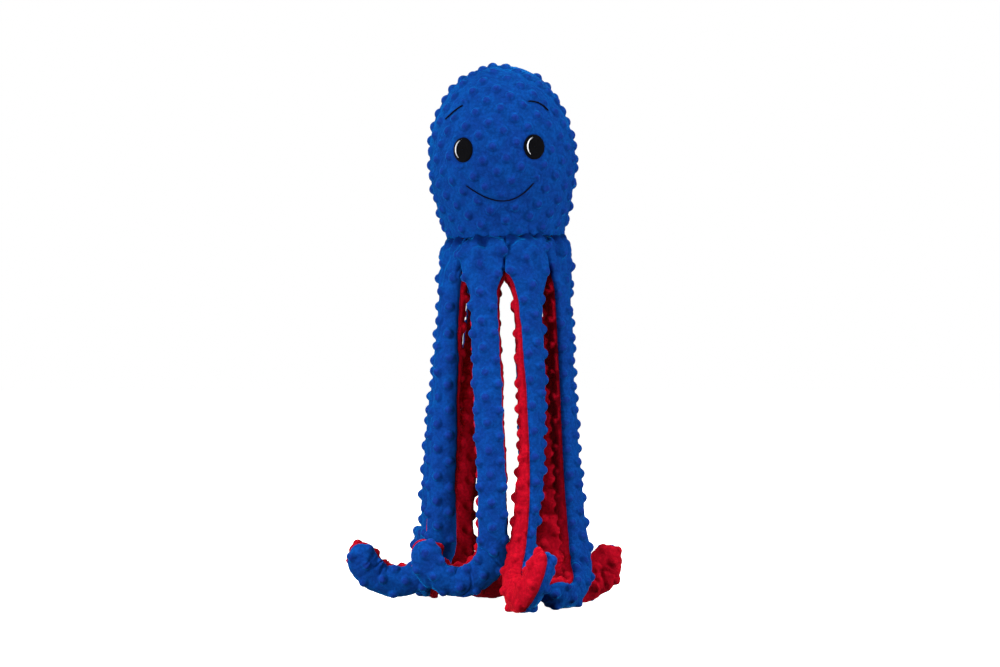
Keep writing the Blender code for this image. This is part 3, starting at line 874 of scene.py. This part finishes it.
def gleam(centre):
    """Route of the crescent in an eye, round its left side as seen from the front."""
    def route(share):
        angle = np.radians(GLEAM_START + GLEAM_TURN * share)
        return (centre + GLEAM_PLACE[0] * EYE_HALF_WIDTH * np.cos(angle),
                EYE_HEIGHT + GLEAM_PLACE[1] * EYE_HALF_HEIGHT * np.sin(angle))
    return route


LINES = {"smile": smile, **{name: brow(shape) for name, shape in BROWS.items()}}


def embroidery_distance(points):
    """Distance from points in the head's frame to the nearest stitches of the face."""
    shares = np.linspace(0, 1, ROUTE_SAMPLES)
    turns = shares * math.tau
    stitched = [on_face(*route(shares)) for route in LINES.values()]
    for sign in (-1, 1):
        for size in (0.2, 0.6, 1.0):
            stitched.append(on_face(sign * EYE_SPREAD + size * EYE_HALF_WIDTH * np.cos(turns),
                                    EYE_HEIGHT + size * EYE_HALF_HEIGHT * np.sin(turns)))
    return nearest(points, np.concatenate(stitched))


def dart_distance(points):
    """Distance from points in the head's frame to the short dart sewn up from the neck."""
    heights = np.linspace(0, DART_HEIGHT, DART_SAMPLES)
    return nearest(points, on_face(np.full(DART_SAMPLES, DART_ACROSS), heights))


# ---------------------------------------------------------------- head covers

def head_relief(plain, places, turns, heights, strips):
    """Height of the cloth over the head's plain surface, and its dots and painted shade for its
    material.
    """
    front_seed, back_seed = HEAD_DOT_SEEDS
    centres = {"front": head_dots(1, front_seed), "back": head_dots(-1, back_seed)}
    dots, ring_shades = raised_dots(plain, strips, centres)
    seam = seam_line(plain)
    stitched = embroidery_distance(plain)
    calm = 1 - rise(stitched, CALM_SPAN)
    dart = near(dart_distance(plain), DART_WIDTH)
    gather = ((1 - rise(places, HEAD_PLEATS.span)) * ease(places / HEAD_PLEATS.span[0]))[:, None]
    dots *= (1 - calm) * (1 - HEAD_PLEATS.flattening * gather)

    height = dots * HEAD_DOT_HEIGHT * (1 - SEAM_FLATTENING * seam) - seam * SEAM_DEPTH
    height += (1 - calm) * (lumpiness(plain, HEAD_LUMPS)
                            - HEAD_INSET * rise(heights, INSET_SPAN)[:, None])
    height += HEAD_PLEATS.height * gather * pleat_waves(plain, turns, HEAD_PLEATS)
    height -= DART_DEPTH * dart + STITCH_PULL * near(stitched, STITCH_PULL_WIDTH)
    # painted shade: darker in the seams, among the gathers, along the rim tucked in at the neck, round
    # the stitches, in the dart and round the dots
    painted_shade = SEAM_SHADE * seam + HEAD_PLEATS.shade * gather + near(places, RIM_SHADE_WIDTH)[:, None]
    painted_shade += STITCH_SHADE * near(stitched, STITCH_SHADE_WIDTH) + DART_SHADE * dart
    painted_shade += DOT_RING_SHADE * ring_shades * (1 - calm)
    return height, {"dot": dots, "painted_shade": np.clip(painted_shade, 0, 1)}


def add_head():
    """The head's front and back panels, sewn together down its sides."""
    places, radii, heights = head_profile()
    count = 2 * round(math.pi * HEAD_HALF_WIDTH / CLOTH_STEP / 2)
    turns = np.linspace(-math.pi / 2, math.pi * 1.5, 2 * count, endpoint=False)
    plain = np.stack([radii[:, None] * np.sin(turns),
                      -HEAD_DEPTH_RATIO * radii[:, None] * np.cos(turns),
                      np.broadcast_to(heights[:, None], (len(radii), len(turns)))], axis=-1)
    normals = grid_normals(plain, True)
    normals[0] = (0, 0, 1)
    strips = two_strips(count, ("front", "back"))
    height, shades = head_relief(plain, places, turns, heights, strips)
    grid = plain + normals * height[..., None]
    grid[0] = grid[0].mean(axis=0)
    grid = to_toy(grid)
    fine = grid_normals(grid, True)
    fine[0] = np.array(HEAD_FRAME)[:3, 2]
    for label, columns in strips.items():
        own_shades = {name: shade[:, columns] for name, shade in shades.items()}
        item = mesh_object(f"head_{label}_plush", grid[:, columns], fine[:, columns], own_shades,
                           MATERIALS["blue"])
        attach(item, "head")
        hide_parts(f"head_{label}_panel")


def add_neck_base():
    """Red underside of the head, inside the ring of arms."""
    rings, columns = DISC_GRID
    radii = np.linspace(DISC_HOLE, DISC_RADIUS, rings)
    turns = np.linspace(0, math.tau, columns, endpoint=False)
    plain = np.stack([radii[:, None] * np.cos(turns),
                      -HEAD_DEPTH_RATIO * radii[:, None] * np.sin(turns),
                      np.zeros((len(radii), len(turns)))], axis=-1)
    centres = [((2 * column + row % 2) * DOT_PITCH, row * DOT_PITCH, 0)
               for row in range(-5, 6) for column in range(-4, 4)]
    dots = dot_profile(nearest(plain, centres)) * (1 - rise(radii[:, None], DISC_DOT_SPAN))
    sag = DISC_SAG * np.cos(radii / SKIRT_RADIUS * math.pi / 2)[:, None]
    plain[..., 2] = -DISC_DROP - sag - dots * HEAD_DOT_HEIGHT
    item = mesh_object("neck_base_plush", to_toy(plain), None, {"dot": dots, "painted_shade": 0 * dots},
                       MATERIALS["red"], closed=True)
    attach(item, "head")
    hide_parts("neck_base_disc")


# ---------------------------------------------------------------- embroidery

def add_eye(side, sign):
    """Oval patch of satin stitch with a rolled edge."""
    end, roll = EYE_EDGE
    shares = np.concatenate([np.linspace(0.02, 0.85, 14), np.linspace(0.88, 1.0, 7), [end]])
    turns = np.linspace(0, math.tau, EYE_COLUMNS, endpoint=False)
    across = sign * EYE_SPREAD + shares[:, None] * EYE_HALF_WIDTH * np.cos(turns)
    height = EYE_HEIGHT + shares[:, None] * EYE_HALF_HEIGHT * np.sin(turns)
    rolled = np.clip((end - shares) / roll, 0, 1)[:, None] ** 0.5
    proud = (EYE_PROUD + EYE_SUNK) * rolled - EYE_SUNK
    stitches = STITCH_HEIGHT * np.sin(height * math.tau / EYE_STITCH)
    grid = to_toy(on_face(across, height, proud + stitches))
    item = mesh_object(f"eye_{side}_satin", grid, None, {}, MATERIALS["black"], closed=True)
    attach(item, "head")
    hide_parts(f"eye_{side}")


def add_line(name, route, half_width, low, material, node):
    """Raised line of slanted satin stitches along a route over the face."""
    rows, columns = LINE_GRID
    shares = np.linspace(0, 1, rows)
    x, z = route(shares)
    slope_x, slope_z = np.gradient(x), np.gradient(z)
    size = np.hypot(slope_x, slope_z)
    length = np.cumsum(size)[:, None]
    turns = np.linspace(*LINE_WRAP, columns) * math.pi
    twist = np.sin(length * math.tau / LINE_STITCH + turns * STITCH_SLANT)
    taper = np.sqrt(np.clip(np.minimum(shares, 1 - shares) / LINE_ENDS, 0.02, 1))[:, None]
    off = -half_width(shares)[:, None] * (1 + STITCH_BULGE * twist) * taper * np.cos(turns)
    proud = low + (LINE_PROUD * taper + STITCH_HEIGHT * twist) * np.sin(turns)
    grid = to_toy(on_face(x[:, None] - (slope_z / size)[:, None] * off,
                          z[:, None] + (slope_x / size)[:, None] * off, proud))
    item = mesh_object(name, grid, None, {}, MATERIALS[material])
    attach(item, "head")
    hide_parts(node)


def add_face():
    """Eyes with their crescents, the brows and the smile."""
    def even(shares):
        return np.full_like(shares, LINE_HALF_WIDTH)

    def crescent(shares):
        tip, middle = GLEAM_HALF_WIDTHS
        return tip + (middle - tip) * np.sin(math.pi * shares)

    for side, sign in (("left", -1), ("right", 1)):
        add_eye(side, sign)
        add_line(f"eye_gleam_{side}_satin", gleam(sign * EYE_SPREAD), crescent, EYE_PROUD, "white",
                 f"eye_gleam_{side}")
    for name, route in LINES.items():
        add_line(f"{name}_satin", route, even, 0.0, "black", name)


# ---------------------------------------------------------------- inside the head

def finish_inner_parts():
    """Materials for the CAD parts that stay as they are, inside the head."""
    for node, material in (("head_filling", "filling"), ("squeaker", "squeaker")):
        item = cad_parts[node]
        item.data.materials.clear()
        item.data.materials.append(MATERIALS[material])


# ---------------------------------------------------------------- studio

# A soft light: the height on the toy's axis that it is aimed at, its place from there, its size
# and its power in watts
Lamp = namedtuple("Lamp", "name aim place size power")
LAMPS = (
    Lamp("left", 0.28, (-2.2, -1.3, 1.5), 0.5, 72),
    Lamp("right", 0.28, (2.4, -0.8, 0.7), 0.7, 86),
    Lamp("low", 0.28, (-2.2, -1.6, -0.2), 0.8, 20),
    Lamp("feet", 0.01, (-0.35, -0.75, 0.09), 0.3, 5.2),
    Lamp("top", 0.28, (-0.2, -0.2, 2.3), 0.8, 34),
    Lamp("back", 0.28, (0.3, 2.4, 1.1), 1.5, 20),
)
WORLD_LIGHT = 0.07
CAMERA_PLACE = (-0.0057, -3.2, 0.281)    # far enough away to flatten the toy's perspective
FOCAL_LENGTH = 110.8       # in mm, as is the sensor's width
SENSOR_WIDTH = 36.0
FLOOR_REACH = 12


def add_lamp(lamp):
    light = bpy.data.lights.new(lamp.name, "AREA")
    light.size = lamp.size
    light.energy = lamp.power
    item = bpy.data.objects.new(lamp.name, light)
    item.location = AXIS + UP * lamp.aim + Vector(lamp.place)
    item.rotation_euler = (-Vector(lamp.place)).to_track_quat("-Z", "Y").to_euler()
    item.visible_camera = False
    bpy.context.collection.objects.link(item)


def add_world():
    """Faint light from all round, behind a background that the camera sees as white."""
    world = bpy.data.worlds.new("studio")
    bpy.context.scene.world = world
    world.use_nodes = True
    nodes, links = world.node_tree.nodes, world.node_tree.links
    background = nodes["Background"]
    background.inputs["Color"].default_value = (1, 1, 1, 1)
    seen = nodes.new("ShaderNodeLightPath").outputs["Is Camera Ray"]
    strength = nodes.new("ShaderNodeMapRange")
    strength.inputs["To Min"].default_value = WORLD_LIGHT
    strength.inputs["To Max"].default_value = 1.0
    links.new(seen, strength.inputs["Value"])
    links.new(strength.outputs["Result"], background.inputs["Strength"])


def add_floor():
    """White floor, just under the feet."""
    mesh = bpy.data.meshes.new("studio_floor")
    corners = [(x * FLOOR_REACH, y * FLOOR_REACH, 0) for x, y in ((-1, -1), (1, -1), (1, 1), (-1, 1))]
    mesh.from_pydata(corners, [], [(0, 1, 2, 3)])
    mesh.materials.append(Shading("studio_white").finished({
        "Base Color": (0.9, 0.9, 0.9), "Roughness": 0.8, "Emission Color": (1, 1, 1),
        "Emission Strength": 0.95}))
    floor = bpy.data.objects.new("studio_floor", mesh)
    floor.location.z = -0.0002
    floor.visible_diffuse = False    # so that it doesn't light the toy from below
    bpy.context.collection.objects.link(floor)


def add_camera():
    """Level camera in front of the toy."""
    camera = bpy.data.cameras.new("camera")
    camera.sensor_width = SENSOR_WIDTH
    camera.lens = FOCAL_LENGTH
    item = bpy.data.objects.new("camera", camera)
    item.location = AXIS + Vector(CAMERA_PLACE)
    item.rotation_euler = (math.pi / 2, 0, 0)
    bpy.context.collection.objects.link(item)
    bpy.context.scene.camera = item


bpy.context.scene.view_settings.view_transform = "Standard"
add_camera()
add_world()
add_floor()
for one_lamp in LAMPS:
    add_lamp(one_lamp)
add_head()
add_neck_base()
add_face()
for arm_number, one_arm in enumerate(ARMS):
    add_arm(one_arm, arm_number)
finish_inner_parts()
